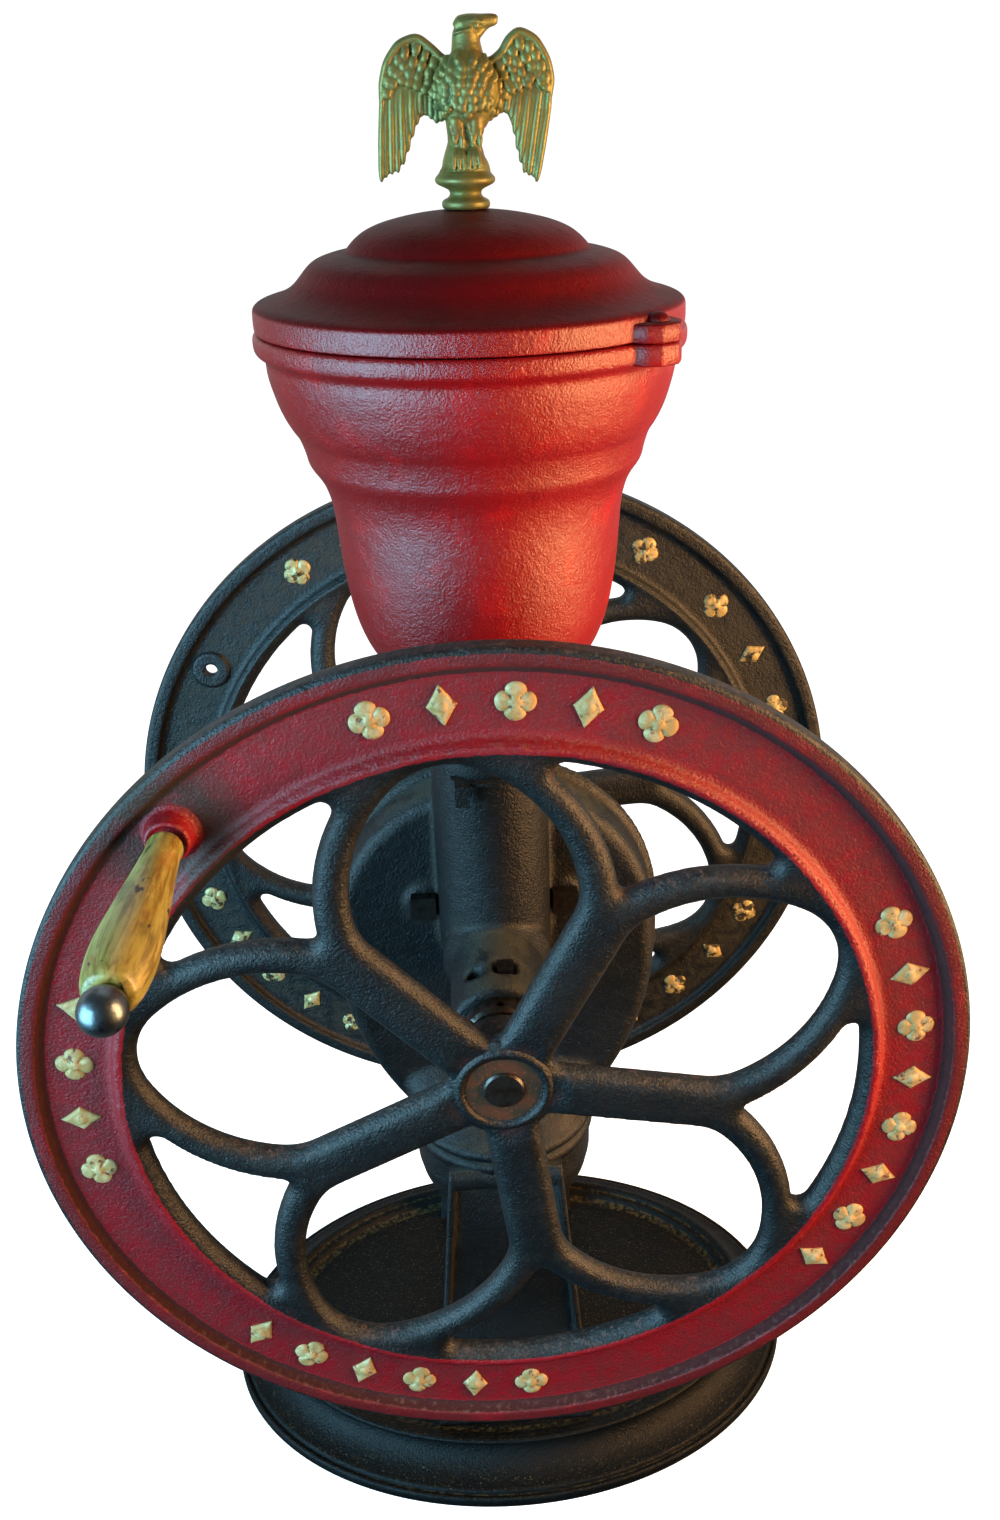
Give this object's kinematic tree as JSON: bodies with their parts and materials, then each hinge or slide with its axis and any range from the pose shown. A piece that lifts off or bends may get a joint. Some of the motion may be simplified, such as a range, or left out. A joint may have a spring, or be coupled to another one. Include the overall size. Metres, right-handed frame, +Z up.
{
  "type": "coffee grinder",
  "caption": "Manual counter coffee mill: cast-iron flywheels with a turned wooden grip, bell hopper with a swinging domed lid and eagle finial, pear-shaped case on a legged oval base.",
  "frame": {"origin": "centre of the base's underside, on the plane that it stands on", "axes": "+Z up, +Y to the rear along the main shaft, +X to the right as seen from the front; the handle is on the front wheel, towards -X and up"},
  "size_m": [0.4252, 0.421, 0.7303],
  "materials": {
    "black_iron": "worn black japan over sand-cast iron, dusty",
    "red_enamel": "deep red enamel over cast iron, worn",
    "dark_steel": "dark oiled steel",
    "rusty_steel": "brown rusted steel",
    "hard_iron": "bare chilled iron",
    "bearing_metal": "dull bearing bronze",
    "gilt_paint": "worn gilt paint",
    "bird_paint": "gold and green paint over cast iron",
    "wood": "worn turned wood with dark stains"
  },
  "bodies": {
    "frame": {"base": "black_iron", "pedestal": "black_iron", "pedestal_bolts": "dark_steel", "case_front": "black_iron", "case_rear": "black_iron", "case_bolts": "dark_steel", "neck_screws": "dark_steel", "burr_bolts": "dark_steel", "fixed_burr": "hard_iron", "front_bush": "bearing_metal", "rear_bush": "bearing_metal", "bearing_screw": "dark_steel", "hopper": "red_enamel", "hopper_bolts": "dark_steel", "lid_pin": "black_iron"},
    "crank": {"main_shaft": "dark_steel", "front_wheel": "red_enamel", "rear_wheel": "black_iron", "front_ornaments": "gilt_paint", "rear_ornaments": "gilt_paint", "front_hub_ring": "rusty_steel", "rear_hub_ring": "rusty_steel", "front_hub_screw": "dark_steel", "rear_hub_screw": "dark_steel", "rotating_burr": "hard_iron", "burr_pin": "dark_steel", "feed_worm": "hard_iron", "handle_stud": "dark_steel", "handle_nut": "dark_steel", "grip_cap": "dark_steel"},
    "grip": {"handle_grip": "wood"},
    "lid": {"lid": "red_enamel", "eagle_finial": "bird_paint", "finial_nut": "dark_steel"},
    "gate": {"feed_gate": "black_iron"},
    "adjuster": {"adjusting_ring": "dark_steel"}
  },
  "joints": [
    {"name": "crank_turn", "type": "hinge", "parent": "frame", "child": "crank", "pos_m": [0, 0, 0.297], "axis": [0, 1, 0], "continuous": true},
    {"name": "grip_spin", "type": "hinge", "parent": "crank", "child": "grip", "pos_m": [-0.13034, -0.2, 0.43387], "axis": [0, 1, 0], "continuous": true},
    {"name": "lid_swing", "type": "hinge", "parent": "frame", "child": "lid", "pos_m": [0.07577, -0.06136, 0.609], "axis": [0, 0, 1], "continuous": true},
    {"name": "gate_slide", "type": "slide", "parent": "frame", "child": "gate", "axis": [0, -1, 0], "range_m": [0, 0.045]},
    {"name": "grind_adjust", "type": "hinge", "parent": "frame", "child": "adjuster", "pos_m": [0, -0.103, 0.297], "axis": [0, 1, 0], "range_deg": [-90, 90]}
  ]
}
